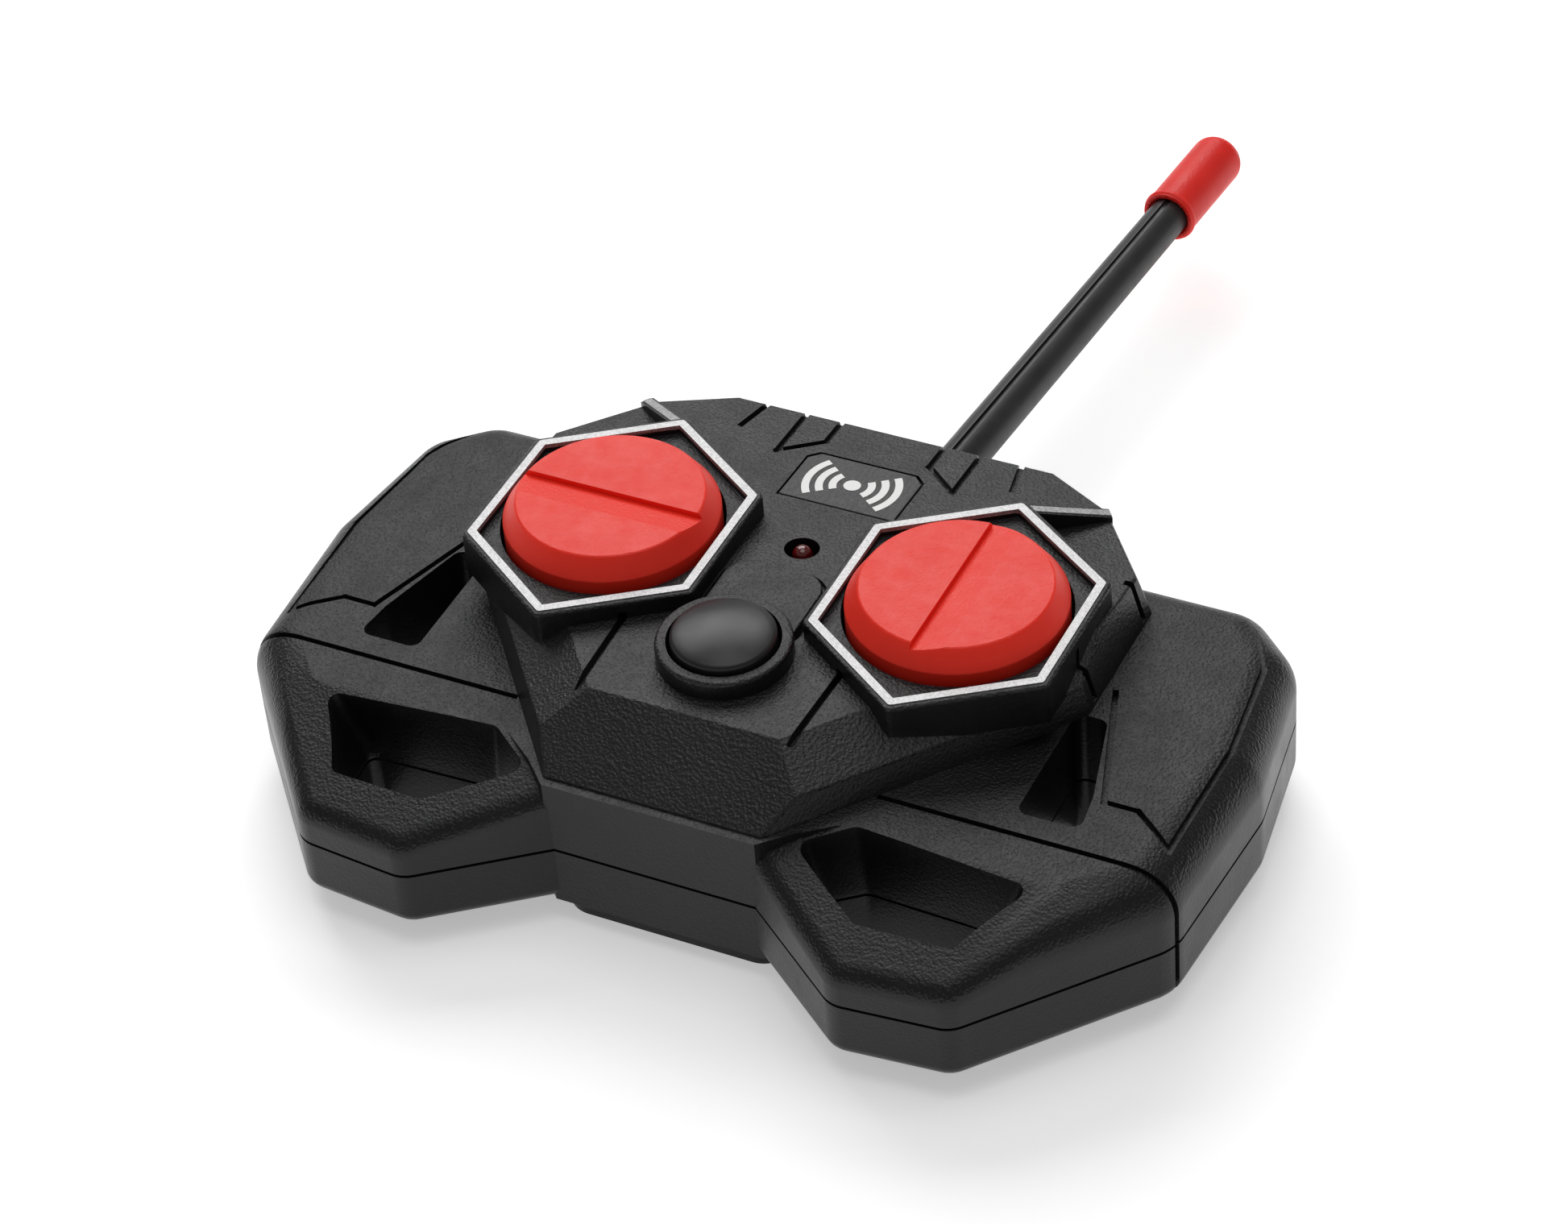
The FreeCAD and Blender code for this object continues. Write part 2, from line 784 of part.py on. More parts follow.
def label_frame(shape):
    tilt = math.degrees(math.atan2(-deck_drop, hood_back_y - deck_start_y))
    shape.Placement = FreeCAD.Placement(V(0, label_y, deck_z(label_y)), FreeCAD.Rotation(V(1, 0, 0), tilt))
    return shape


def label_outline(grow, depth, height):
    half = label_half_x + grow
    deep = label_half_y + grow
    nick = label_nick
    corners = [(-half, -deep), (half, -deep), (half, deep - nick), (half - nick, deep), (-half + nick, deep),
               (-half, deep - nick)]
    return label_frame(prism(sharp_wire(corners, -depth), height))


def hood():
    shell = hood_block(0.0)
    raised = [e for e in shell.Edges if e.BoundBox.ZMax > wing_top + 1.0]
    ridges = [e for e in raised if abs(e.CenterOfMass.z - wing_top) > 0.5]
    shell = shell.makeFillet(hood_round, ridges)
    cavity = hood_block(hood_wall)
    cavity = cavity.fuse(Part.Face(sharp_wire(hood_corners(), wing_top - 1.0)).makeOffset2D(-hood_wall)
                         .extrude(V(0, 0, 1.2)))
    shell = shell.cut(cavity).fuse(pair(bezel_plinth()))
    shell = shell.cut(pair(hex_prism(-bezel_trim_w / 2, bezel_floor, bezel_top + 1.0)))
    shell = shell.cut(pair(hood_bore(rocker_r + rocker_clear, rocker_x, rocker_y)))
    shell = shell.cut(label_outline(label_gap, label_t, hood_wall)).cut(deck_grooves())
    shell = shell.fuse(raised_tab()).fuse(button_ring())
    shell = shell.cut(hood_bore(ring_bore_r, 0, button_y))
    shell = shell.cut(hood_bore(led_hole_r, 0, led_y))
    return shell.cut(pair(bezel_trim()))


def bezel_plinth():
    """Raised hexagonal wall and its branch, kept clear of the space under the hood."""
    plinth = hex_prism(bezel_trim_w / 2 + plinth_extra, wing_top + hood_wall, bezel_top - plinth_drop)
    crest = [e for e in plinth.Edges if e.BoundBox.ZMin > bezel_top - plinth_drop - 0.1]
    plinth = plinth.makeFillet(plinth_round, crest)
    rib = branch_bar(bezel_trim_w + plinth_extra, -rib_drop, bezel_trim_h - plinth_drop)
    low_side = box(-half_width, half_width, horn_tip_y, 2 * hood_back_y, 0.0, wing_top + 2 * hood_wall)
    return plinth.fuse(rib).cut(hood_block(hood_wall)).cut(low_side)


def hood_bore(radius, x, y):
    return rod(radius, bezel_top - wing_top, x, y, wing_top + 1.0)


def raised_tab():
    tab = prism(tab_outline(0.0), tab_line_d + tab_rise)
    crest = [e for e in tab.Edges if e.BoundBox.ZMin > hood_top + tab_rise - 0.1]
    return tab.makeFillet(tab_rise / 3, crest)


def button_ring():
    base = hood_top - 0.75 * hood_wall
    boss = rod(ring_r, ring_top - base, 0, button_y, base)
    lip = [e for e in boss.Edges if e.BoundBox.ZMin > ring_top - 0.1]
    return boss.makeFillet(ring_round, lip)


def label_plate():
    return label_outline(0.0, label_t, label_t)


# ---------------------------------------------------------------- rockers
def rocker_body(tilt_about_x):
    """Cap with a chamfered crown, two plungers and two pivot ears; tilts about local X."""
    skirt = rod(rocker_r, rocker_wall_top - rocker_skirt, 0, 0, rocker_skirt)
    crown = Part.makeCone(rocker_r, plateau_r, rocker_top - rocker_wall_top, V(0, 0, rocker_wall_top))
    body = skirt.fuse(crown).removeSplitter()
    rim = [e for e in body.Edges if e.BoundBox.ZMin > rocker_wall_top - 0.1]
    body = body.makeFillet(crown_round, rim)
    roof = rocker_top - rocker_skin
    body = body.cut(rod(rocker_r - rocker_skin, roof - rocker_skirt, 0, 0, rocker_skirt - 0.01))
    ear_in = post_w / 2 + post_gap
    for side in (-1, 1):
        middle = side * (ear_in + ear_t / 2)
        ear = box(middle - ear_t / 2, middle + ear_t / 2, -ear_half, ear_half, pivot_z - ear_drop, roof + 0.5)
        body = body.fuse(ear)
        base = wing_top + board_t + dome_h + dome_gap
        body = body.fuse(rod(plunger_r, roof - base + 0.5, 0, side * plunger_arm, base))
    body = body.cut(Part.makeCylinder(pin_r, pin_len, V(-pin_len / 2, 0, pivot_z), V(1, 0, 0)))
    return turn_rocker(body.cut(finger_groove()), tilt_about_x)


def finger_groove():
    """Wedge channel along the pivot direction, steep on one side."""
    reach = 2 * rocker_r
    steep = -finger_groove_w * groove_steep_share
    high = rocker_top + 1.0
    profile = [V(-reach, steep, high), V(-reach, steep, rocker_top - finger_groove_d),
               V(-reach, finger_groove_w, rocker_top), V(-reach, finger_groove_w, high)]
    face = Part.Face(Part.makePolygon(profile + [profile[0]]))
    return face.extrude(V(2 * reach, 0, 0))


def turn_rocker(shape, tilt_about_x):
    shape = shape.copy()
    if tilt_about_x:
        shape.rotate(V(0, 0, 0), V(0, 0, 1), 180)
        shape.translate(V(-rocker_x, rocker_y, 0))
        return shape
    shape.rotate(V(0, 0, 0), V(0, 0, 1), -90)
    shape.translate(V(rocker_x, rocker_y, 0))
    return shape


def pivot_pin(tilt_about_x):
    pin = Part.makeCylinder(pin_r, pin_len, V(-pin_len / 2, 0, pivot_z), V(1, 0, 0))
    return turn_rocker(pin, tilt_about_x)


def pivot_post(tilt_about_x):
    base_z = wing_top + board_t
    foot = box(-post_foot_half, post_foot_half, -post_t, post_t, base_z, base_z + post_foot_t)
    column = box(-post_w / 2, post_w / 2, -post_t / 2, post_t / 2, base_z, post_top)
    post = foot.fuse(column)
    post = post.cut(Part.makeCylinder(pin_r + running, pin_len, V(-pin_len / 2, 0, pivot_z), V(1, 0, 0)))
    return turn_rocker(post, tilt_about_x)


# ---------------------------------------------------------------- centre button
def centre_button():
    flange_z = hood_top - hood_wall - button_flange_gap - button_flange_t
    flange = rod(button_flange_r, button_flange_t, 0, 0, flange_z)
    stem = rod(button_r, button_shoulder - flange_z, 0, 0, flange_z)
    rise = button_crown - button_shoulder
    ball_r = (button_r ** 2 + rise ** 2) / (2 * rise)
    ball = Part.makeSphere(ball_r, V(0, 0, button_crown - ball_r))
    dome = ball.common(rod(button_r, rise + 0.1, 0, 0, button_shoulder - 0.05))
    body = flange.fuse(stem).fuse(dome).removeSplitter()
    wide = [e for e in body.Edges if e.BoundBox.XLength > button_r]
    rim = [e for e in wide if abs(e.CenterOfMass.z - button_shoulder) < 0.2]
    body = body.makeFillet(button_round, rim)
    cup = rod(button_cup_r, button_roof_z() - flange_z, 0, 0, flange_z - 0.01)
    plunger_z = wing_top + board_t + dome_h + button_travel + button_play
    plunger = rod(button_plunger_r, button_roof_z() - plunger_z, 0, 0, plunger_z)
    body = body.cut(cup.cut(plunger))
    body.translate(V(0, button_y, 0))
    return body


def button_roof_z():
    return button_shoulder - button_roof


def coil_spring(radius, coil_wire_r, length, turns):
    rise = length - 2 * coil_wire_r
    helix = Part.makeHelix(rise / turns, rise, radius)
    rim = []
    for i in range(wire_sides + 1):
        turn = 2 * math.pi * i / wire_sides
        rim.append(V(radius + coil_wire_r * math.cos(turn), 0, coil_wire_r * math.sin(turn)))
    section = Part.makePolygon(rim)
    return Part.Wire(helix).makePipeShell([section], True, True)


def centre_spring():
    base = wing_top + board_t
    spring = coil_spring(spring_r, spring_wire_r, button_roof_z() - base - 2 * spring_gap, spring_turns)
    spring.translate(V(0, button_y, base + spring_gap + spring_wire_r))
    return spring


# ---------------------------------------------------------------- electronics
def circuit_board():
    sheet = Part.Face(sharp_wire(hood_corners(), wing_top)).makeOffset2D(-board_inset)
    board = sheet.extrude(V(0, 0, board_t))
    board = board.common(box(-half_width, half_width, brow_y, hood_back_y, 0, hood_top))
    for x in (-led_lead_x, led_lead_x):
        board = board.cut(rod(led_lead_hole_r, 2 * board_t, x, led_y, wing_top - board_t / 2))
    return board


def switch_places():
    return [(-rocker_x, rocker_y - plunger_arm), (-rocker_x, rocker_y + plunger_arm),
            (rocker_x - plunger_arm, rocker_y), (rocker_x + plunger_arm, rocker_y), (0.0, button_y)]


def dome_switches():
    domes = []
    for x, y in switch_places():
        foot_r = dome_r
        if x == 0.0:
            foot_r = button_dome_r
        domes.append(Part.makeCone(foot_r, dome_top_r, dome_h, V(x, y, wing_top + board_t)))
    return Part.makeCompound(domes)


def led():
    body = rod(led_r, led_body_h, 0, led_y, led_base_z)
    flange = rod(led_r + led_flange, led_flange_h, 0, led_y, led_base_z)
    nose = Part.makeSphere(led_r, V(0, led_y, led_base_z + led_body_h))
    lamp = body.fuse(flange).fuse(nose)
    for x in (-led_lead_x, led_lead_x):
        lamp = lamp.fuse(rod(led_lead_r, led_base_z + 0.1 - wing_top, x, led_y, wing_top))
    return lamp


def chip():
    top = wing_top
    under = top - chip_standoff
    body = box(-chip_l / 2, chip_l / 2, -chip_w / 2, chip_w / 2, under - chip_h, under)
    legs = []
    for i in range(chip_legs):
        x = chip_leg_pitch * (i - (chip_legs - 1) / 2)
        for side in (-1, 1):
            y = side * chip_w / 2
            legs.append(box(x - chip_leg_w / 2, x + chip_leg_w / 2, y - chip_leg_t, y + chip_leg_t,
                            top - chip_leg_h, top))
    chip_solid = body.multiFuse(legs)
    chip_solid.translate(V(0, chip_y, 0))
    return chip_solid


def crystal():
    can = box(-crystal_l / 2, crystal_l / 2, -crystal_w / 2, crystal_w / 2, wing_top - crystal_h, wing_top)
    uprights = [e for e in can.Edges if e.BoundBox.ZLength > crystal_h / 2]
    can = can.makeFillet(crystal_r, uprights)
    can.translate(V(crystal_x, crystal_y, 0))
    return can


def coil():
    former = rod(coil_core_r, coil_core_h, 0, 0, wing_top - coil_core_h)
    winding = rod(coil_r, coil_h, 0, 0, wing_top - coil_h - coil_lift)
    shape = former.fuse(winding)
    shape.translate(V(-board_part_x - 1.0, coil_y, 0))
    return shape


def capacitors():
    cans = []
    x = board_part_x
    places = [(-x, capacitor_front_y), (x, capacitor_front_y), (x, capacitor_back_y)]
    for x, y in places:
        can = rod(capacitor_r, capacitor_h, x, y, wing_top - capacitor_h)
        cans.append(can.makeFillet(capacitor_round, [can.Edges[0], can.Edges[2]]))
    return Part.makeCompound(cans)


def resistors():
    bodies = []
    middle_z = wing_top - resistor_r - resistor_lift
    for i in range(resistor_count):
        x = resistor_x + resistor_pitch * i
        bodies.append(Part.makeCylinder(resistor_r, resistor_l, V(x, resistor_y, middle_z), V(0, 1, 0)))
    return Part.makeCompound(bodies)


# ---------------------------------------------------------------- power
def cell(side):
    z = cell_z
    back = bay_back - cell_back_gap
    can = Part.makeCylinder(cell_r, cell_len - cell_nub_l, V(0, back - cell_len, z), V(0, 1, 0))
    nub = Part.makeCylinder(cell_nub_r, cell_nub_l, V(0, back - cell_nub_l, z), V(0, 1, 0))
    shape = can.fuse(nub)
    if side < 0:
        middle = back - cell_len / 2
        shape.rotate(V(0, middle, z), V(0, 0, 1), 180)
    shape.translate(V(side * (cell_r + cell_gap), 0, 0))
    return shape


def contact_plates():
    plates = []
    for y in (bay_back - contact_back_gap, bay_front + contact_front_gap):
        for side in (-1, 1):
            x = side * (cell_r + cell_gap)
            plates.append(box(x - contact_half, x + contact_half, y, y + contact_t,
                              cell_z - contact_half, cell_z + contact_half))
    return Part.makeCompound(plates)


def contact_springs():
    front = bay_front + contact_front_gap + contact_t
    back = bay_back - contact_back_gap
    tall_reach = bay_back - cell_back_gap - cell_len - front
    x = cell_r + cell_gap
    tall = contact_coil(tall_reach, contact_turns, x, front + contact_wire_r)
    low = contact_coil(flat_contact_reach, flat_contact_turns, -x, back - flat_contact_reach + contact_wire_r)
    return Part.makeCompound([tall, low])


def contact_coil(reach, turns, x, y):
    coil_shape = coil_spring(contact_spring_r, contact_wire_r, reach, turns)
    coil_shape.rotate(V(0, 0, 0), V(1, 0, 0), -90)
    coil_shape.translate(V(x, y, cell_z))
    return coil_shape


def power_wires():
    wires = []
    for side in (-1, 1):
        x = side * (cell_r + cell_gap)
        wires.append(rod(wire_r, wing_top - cell_z, x, tub_back + wire_r, cell_z))
    return Part.makeCompound(wires)


# ---------------------------------------------------------------- antenna
def antenna_rod():
    stem = Part.makeCone(antenna_r0, antenna_r1, antenna_len)
    flutes = []
    for i in range(3):
        angle = 60 + 120 * i
        start = V(-flute_w / 2, antenna_r0 - flute_d, socket_len + flute_start)
        bar = Part.makeBox(flute_w, flute_d + 1.0, antenna_len, start)
        bar.rotate(V(0, 0, 0), V(0, 0, 1), angle)
        flutes.append(bar)
    stem = stem.cut(flutes[0].multiFuse(flutes[1:]))
    reach = antenna_len - cap_len + cap_bore
    stem = stem.common(Part.makeCylinder(antenna_r0 + 1.0, reach - cap_seat_gap))
    return antenna_frame(stem)


def antenna_cap():
    start = antenna_len - cap_len
    sleeve = Part.makeCylinder(cap_r, cap_len, V(0, 0, start))
    end = [e for e in sleeve.Edges if e.BoundBox.ZMin > antenna_len - 0.1]
    sleeve = sleeve.makeFillet(cap_round, end)
    lip = Part.makeTorus(cap_r - cap_lip_in, cap_lip_r, V(0, 0, start + cap_lip_start))
    sleeve = sleeve.fuse(lip)
    bore = Part.makeCylinder(antenna_r0 + grip_fit, cap_bore + 1.0, V(0, 0, start - 1.0))
    return antenna_frame(sleeve.cut(bore))


def antenna_socket():
    collar = Part.makeCylinder(socket_r, socket_len, V(0, 0, socket_y - antenna_y))
    collar = collar.cut(Part.makeCylinder(antenna_r0 + grip_fit, socket_y + socket_len - antenna_y + 1.0))
    return antenna_frame(collar)


def case_screws():
    screws = []
    for x, y in screw_places():
        for side in (-1, 1):
            head = rod(screw_head_r, screw_head_t, side * x, y, screw_seat_z - screw_head_t)
            slot = screw_slot(side * x, y, screw_slot_w / 2, screw_slot_l / 2)
            cross = screw_slot(side * x, y, screw_slot_l / 2, screw_slot_w / 2)
            shank = rod(screw_r, screw_shank, side * x, y, screw_seat_z)
            screws.append(head.fuse(shank).cut(slot.fuse(cross)))
    return Part.makeCompound(screws)


def screw_slot(x, y, half_x, half_y):
    low = screw_seat_z - screw_head_t
    return box(x - half_x, x + half_x, y - half_y, y + half_y, low - 1.0, low + screw_slot_d)


def main():
    os.makedirs("parts", exist_ok=True)
    save("lower_case", lower_case())
    save("upper_case", upper_case())
    save("hood", hood())
    save("battery_door", battery_door())
    trim = bezel_trim()
    save("bezel_trim_right", trim)
    save("bezel_trim_left", mirrored(trim))
    save("label_plate", label_plate())
    save("rocker_left", rocker_body(True))
    save("rocker_right", rocker_body(False))
    save("pivot_pin_left", pivot_pin(True))
    save("pivot_pin_right", pivot_pin(False))
    save("pivot_post_left", pivot_post(True))
    save("pivot_post_right", pivot_post(False))
    save("centre_button", centre_button())
    save("centre_spring", centre_spring())
    save("circuit_board", circuit_board())
    save("dome_switches", dome_switches())
    save("led", led())
    save("chip", chip())
    save("crystal", crystal())
    save("coil", coil())
    save("capacitors", capacitors())
    save("resistors", resistors())
    save("cell_right", cell(1))
    save("cell_left", cell(-1))
    save("contact_plates", contact_plates())
    save("contact_springs", contact_springs())
    save("power_wires", power_wires())
    save("antenna_rod", antenna_rod())
    save("antenna_cap", antenna_cap())
    save("antenna_socket", antenna_socket())
    save("case_screws", case_screws())


main()
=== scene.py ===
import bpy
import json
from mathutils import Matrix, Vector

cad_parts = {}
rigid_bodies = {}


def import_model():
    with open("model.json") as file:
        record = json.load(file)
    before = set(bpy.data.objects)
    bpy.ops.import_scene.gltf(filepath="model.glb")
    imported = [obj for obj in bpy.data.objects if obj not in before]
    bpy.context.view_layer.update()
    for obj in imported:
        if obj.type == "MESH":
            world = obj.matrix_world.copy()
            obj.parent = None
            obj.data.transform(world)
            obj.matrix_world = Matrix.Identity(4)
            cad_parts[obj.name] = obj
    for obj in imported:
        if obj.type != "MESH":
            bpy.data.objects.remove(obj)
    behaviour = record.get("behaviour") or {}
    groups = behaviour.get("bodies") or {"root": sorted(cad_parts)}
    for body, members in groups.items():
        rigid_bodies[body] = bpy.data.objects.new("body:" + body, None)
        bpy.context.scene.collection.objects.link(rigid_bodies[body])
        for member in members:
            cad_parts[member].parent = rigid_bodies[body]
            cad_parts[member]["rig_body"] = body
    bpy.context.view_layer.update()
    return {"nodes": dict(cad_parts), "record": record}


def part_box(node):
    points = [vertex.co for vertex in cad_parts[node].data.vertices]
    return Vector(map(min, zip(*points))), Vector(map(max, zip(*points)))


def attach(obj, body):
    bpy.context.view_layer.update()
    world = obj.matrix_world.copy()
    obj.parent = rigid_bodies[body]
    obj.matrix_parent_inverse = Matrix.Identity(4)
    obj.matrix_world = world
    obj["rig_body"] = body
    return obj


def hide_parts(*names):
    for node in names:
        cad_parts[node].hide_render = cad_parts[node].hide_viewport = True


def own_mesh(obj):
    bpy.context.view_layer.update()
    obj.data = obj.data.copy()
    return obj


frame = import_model()

import json
import math

import bmesh
import bpy
from mathutils import Matrix, Vector

MM = 0.001

# ---- label, as in the part ----
LABEL_THICK = 0.8 * MM

# ---- finishes: size of the grain, and how deep it is ----
CASE_GRAIN = 0.45 * MM
CASE_GRAIN_DEPTH = 0.115 * MM
HOOD_GRAIN_DEPTH = 1.1 * CASE_GRAIN_DEPTH
CASE_GLOSS = 0.31
HOOD_GLOSS = 0.42
WALL_GRAIN_SHARE = 0.25
EDGE_ROUGH_SHARE = 0.72
CREST_SHARE = 0.25
RED_GRAIN = 0.45 * MM
RED_GRAIN_DEPTH = 0.05 * MM
RED_WALL_GRAIN_SHARE = 0.12
RIB_PITCH = 0.9 * MM
RIB_DEPTH = 0.05 * MM
BAND_START, BAND_FULL = 0.62, 0.66
MOTTLE = (0.3, 0.7)

# ---- shells ----
MERGE_GAP = 0.001 * MM
FLAT_ANGLE = math.radians(0.4)
SMOOTH_ANGLE = math.radians(32)
ROUNDED_ANGLE = math.radians(30)
ROUNDING_STEPS = 2
SHADING_WEIGHT = 80

# ---- printed mark ----
MARK_THICK = 0.06 * MM
MARK_GAP = 0.01 * MM
MARK_DOT = 1.3 * MM
MARK_WAVES = (2.9 * MM, 4.9 * MM, 6.9 * MM)
MARK_STROKE = 1.15 * MM
MARK_HALF_TURN = math.radians(38)
MARK_STEPS = 24

# ---- studio ----
FLOOR_HALF = 6.0
FLOOR_DROP = 0.05 * MM
PAPER_GLOW = 0.40
AIR_LIGHT = 0.22
BACKDROP_LIGHT = 0.62
WHITE = (1.0, 1.0, 1.0, 1.0)

# ---- view ----
LENS = 101.747
SENSOR = 36.0
FAR_CLIP = 20.0
VIEW_TURN = math.radians(28.795365)
VIEW_TILT = math.radians(40.49694618)
VIEW_ROLL = math.radians(-5.00648517)
VIEW_PLACE = Vector((0.2325916, -0.4171479, 0.4395577))


# ---------------------------------------------------------------- node helpers
def start_finish(name):
    """A new node material with its shader and the piece's own coordinates."""
    finish = bpy.data.materials.new(name)
    finish.use_nodes = True
    tree = finish.node_tree
    shader = tree.nodes["Principled BSDF"]
    place = tree.nodes.new("ShaderNodeTexCoord")
    return finish, tree, shader, place


def noise(tree, place, size, detail=2.0, rough=0.5, stretch=None):
    """Noise whose features are about the given size in metres."""
    node = tree.nodes.new("ShaderNodeTexNoise")
    node.inputs["Scale"].default_value = 1.0 / size
    node.inputs["Detail"].default_value = detail
    node.inputs["Roughness"].default_value = rough
    source = place.outputs["Object"]
    if stretch:
        mapping = tree.nodes.new("ShaderNodeMapping")
        mapping.inputs["Scale"].default_value = stretch
        tree.links.new(source, mapping.inputs["Vector"])
        source = mapping.outputs["Vector"]
    tree.links.new(source, node.inputs["Vector"])
    return node.outputs["Fac"]


def pebbles(tree, place, size):
    """Rounded cells like spark-eroded mould grain."""
    wobble = tree.nodes.new("ShaderNodeTexNoise")
    wobble.inputs["Scale"].default_value = 0.7 / size
    wobble.inputs["Detail"].default_value = 1.0
    tree.links.new(place.outputs["Object"], wobble.inputs["Vector"])
    shift = tree.nodes.new("ShaderNodeVectorMath")
    shift.operation = "MULTIPLY_ADD"
    shift.inputs[1].default_value = (size * 0.8, size * 0.8, size * 0.8)
    tree.links.new(wobble.outputs["Color"], shift.inputs[0])
    tree.links.new(place.outputs["Object"], shift.inputs[2])
    cells = tree.nodes.new("ShaderNodeTexVoronoi")
    cells.feature = "SMOOTH_F1"
    cells.inputs["Scale"].default_value = 1.0 / size
    cells.inputs["Smoothness"].default_value = 0.6
    tree.links.new(shift.outputs["Vector"], cells.inputs["Vector"])
    return cells.outputs["Distance"]


def mapped(tree, value, low, high, out_low=0.0, out_high=1.0):
    """A value's span stretched, and held, to another span."""
    node = tree.nodes.new("ShaderNodeMapRange")
    node.inputs["From Min"].default_value = low
    node.inputs["From Max"].default_value = high
    node.inputs["To Min"].default_value = out_low
    node.inputs["To Max"].default_value = out_high
    tree.links.new(value, node.inputs["Value"])
    return node.outputs["Result"]


def combined(tree, operation, first, second):
    """Two values, or a value and a number, put together by one sum."""
    node = tree.nodes.new("ShaderNodeMath")
    node.operation = operation
    for socket, value in ((node.inputs[0], first), (node.inputs[1], second)):
        if isinstance(value, float):
            socket.default_value = value
        else:
            tree.links.new(value, socket)
    return node.outputs["Value"]


def blended(tree, share, first, second):
    """Colour between two colours, or between a colour and a socket."""
    colour_a, colour_b, result = 6, 7, 2
    node = tree.nodes.new("ShaderNodeMix")
    node.data_type = "RGBA"
    tree.links.new(share, node.inputs["Factor"])
    for socket, value in ((node.inputs[colour_a], first), (node.inputs[colour_b], second)):
        if isinstance(value, tuple):
            socket.default_value = value + (1.0,)
        else:
            tree.links.new(value, socket)
    return node.outputs[result]


def set_colour(tree, shader, share, first, second):
    """Base colour that goes from the first to the second."""
    tree.links.new(blended(tree, share, first, second), shader.inputs["Base Color"])


def set_roughness(tree, shader, mottle, smooth, dull):
    """Roughness that wanders between two values with a noise."""
    tree.links.new(mapped(tree, mottle, *MOTTLE, smooth, dull), shader.inputs["Roughness"])


def set_relief(tree, shader, height, depth):
    """Raises the surface by a height pattern, to a depth in metres."""
    node = tree.nodes.new("ShaderNodeBump")
    node.inputs["Strength"].default_value = 1.0
    node.inputs["Distance"].default_value = depth
    tree.links.new(height, node.inputs["Height"])
    tree.links.new(node.outputs["Normal"], shader.inputs["Normal"])


def either_shader(tree, share, first, second):
    """One shader or another, by a share from 0 to 1."""
    node = tree.nodes.new("ShaderNodeMixShader")
    for socket, value in zip(node.inputs, (share, first, second)):
        tree.links.new(value, socket)
    return node.outputs["Shader"]


def facing_up(tree, place, low, high):
    """1 on level faces, 0 on upright walls."""
    parts = tree.nodes.new("ShaderNodeSeparateXYZ")
    tree.links.new(place.outputs["Normal"], parts.inputs["Vector"])
    return mapped(tree, parts.outputs["Z"], low, high)


# ---------------------------------------------------------------- finishes
def moulded_plastic(name, dark, light, smooth, dull, depth, gloss):
    """Moulded plastic: pebbled on level faces, nearly smooth on walls, a little worn and uneven."""
    finish, tree, shader, place = start_finish(name)
    level = facing_up(tree, place, 0.25, 0.6)
    strength = mapped(tree, level, 0.0, 1.0, WALL_GRAIN_SHARE, 1.0)
    cells = pebbles(tree, place, CASE_GRAIN)
    fine = noise(tree, place, CASE_GRAIN * 0.4, 3.0, 0.6)
    height = combined(tree, "ADD", cells, combined(tree, "MULTIPLY", fine, 0.35))
    set_relief(tree, shader, combined(tree, "MULTIPLY", height, strength), depth)
    patch = noise(tree, place, 20 * MM, 4.0, 0.6)
    shade = blended(tree, mapped(tree, patch, *MOTTLE), dark, light)
    crest = mapped(tree, cells, 0.15, 0.75, 1.0, 0.0)
    set_colour(tree, shader, combined(tree, "MULTIPLY", crest, CREST_SHARE), shade, light)
    rub = mapped(tree, noise(tree, place, 6 * MM, 5.0, 0.65), *MOTTLE, smooth, dull)
    flat = mapped(tree, facing_up(tree, place, 0.75, 0.97), 0.0, 1.0, EDGE_ROUGH_SHARE, 1.0)
    tree.links.new(combined(tree, "MULTIPLY", rub, flat), shader.inputs["Roughness"])
    shader.inputs["Specular IOR Level"].default_value = gloss
    return finish


def red_plastic(name, deep, bright):
    """Glowing red plastic that lets a little light in, pebbled on its level faces."""
    finish, tree, shader, place = start_finish(name)
    level = facing_up(tree, place, 0.9, 0.99)
    strength = mapped(tree, level, 0.0, 1.0, RED_WALL_GRAIN_SHARE, 1.0)
    cells = pebbles(tree, place, RED_GRAIN)
    set_relief(tree, shader, combined(tree, "MULTIPLY", cells, strength), RED_GRAIN_DEPTH)
    patch = mapped(tree, noise(tree, place, 8 * MM, 3.0), *MOTTLE)
    set_colour(tree, shader, patch, deep, bright)
    set_roughness(tree, shader, noise(tree, place, 3 * MM, 4.0, 0.6), 0.36, 0.5)
    shader.inputs["Subsurface Weight"].default_value = 0.25
    shader.inputs["Subsurface Radius"].default_value = (1.0, 0.2, 0.1)
    shader.inputs["Subsurface Scale"].default_value = 3 * MM
    shader.inputs["Specular IOR Level"].default_value = 0.3
    return finish


def silver_foil(name):
    """Hot-pressed foil: pale, finely speckled, thin at a few places."""
    finish, tree, shader, place = start_finish(name)
    speck = noise(tree, place, 0.35 * MM, 3.0, 0.7)
    set_colour(tree, shader, mapped(tree, speck, 0.35, 0.65), (0.27, 0.27, 0.275), (0.56, 0.56, 0.56))
    set_roughness(tree, shader, speck, 0.32, 0.5)
    set_relief(tree, shader, noise(tree, place, 0.6 * MM), 0.03 * MM)
    shader.inputs["Metallic"].default_value = 0.45
    return finish


def metal(name, dull, clean, rough, grain=2 * MM, stretch=None):
    """Bare metal with patches of tarnish, drawn out along the way it was worked."""
    finish, tree, shader, place = start_finish(name)
    patch = noise(tree, place, grain, 4.0, 0.6, stretch)
    set_colour(tree, shader, patch, dull, clean)
    set_roughness(tree, shader, patch, rough, rough + 0.15)
    set_relief(tree, shader, patch, 0.02 * MM)
    shader.inputs["Metallic"].default_value = 1.0
    return finish


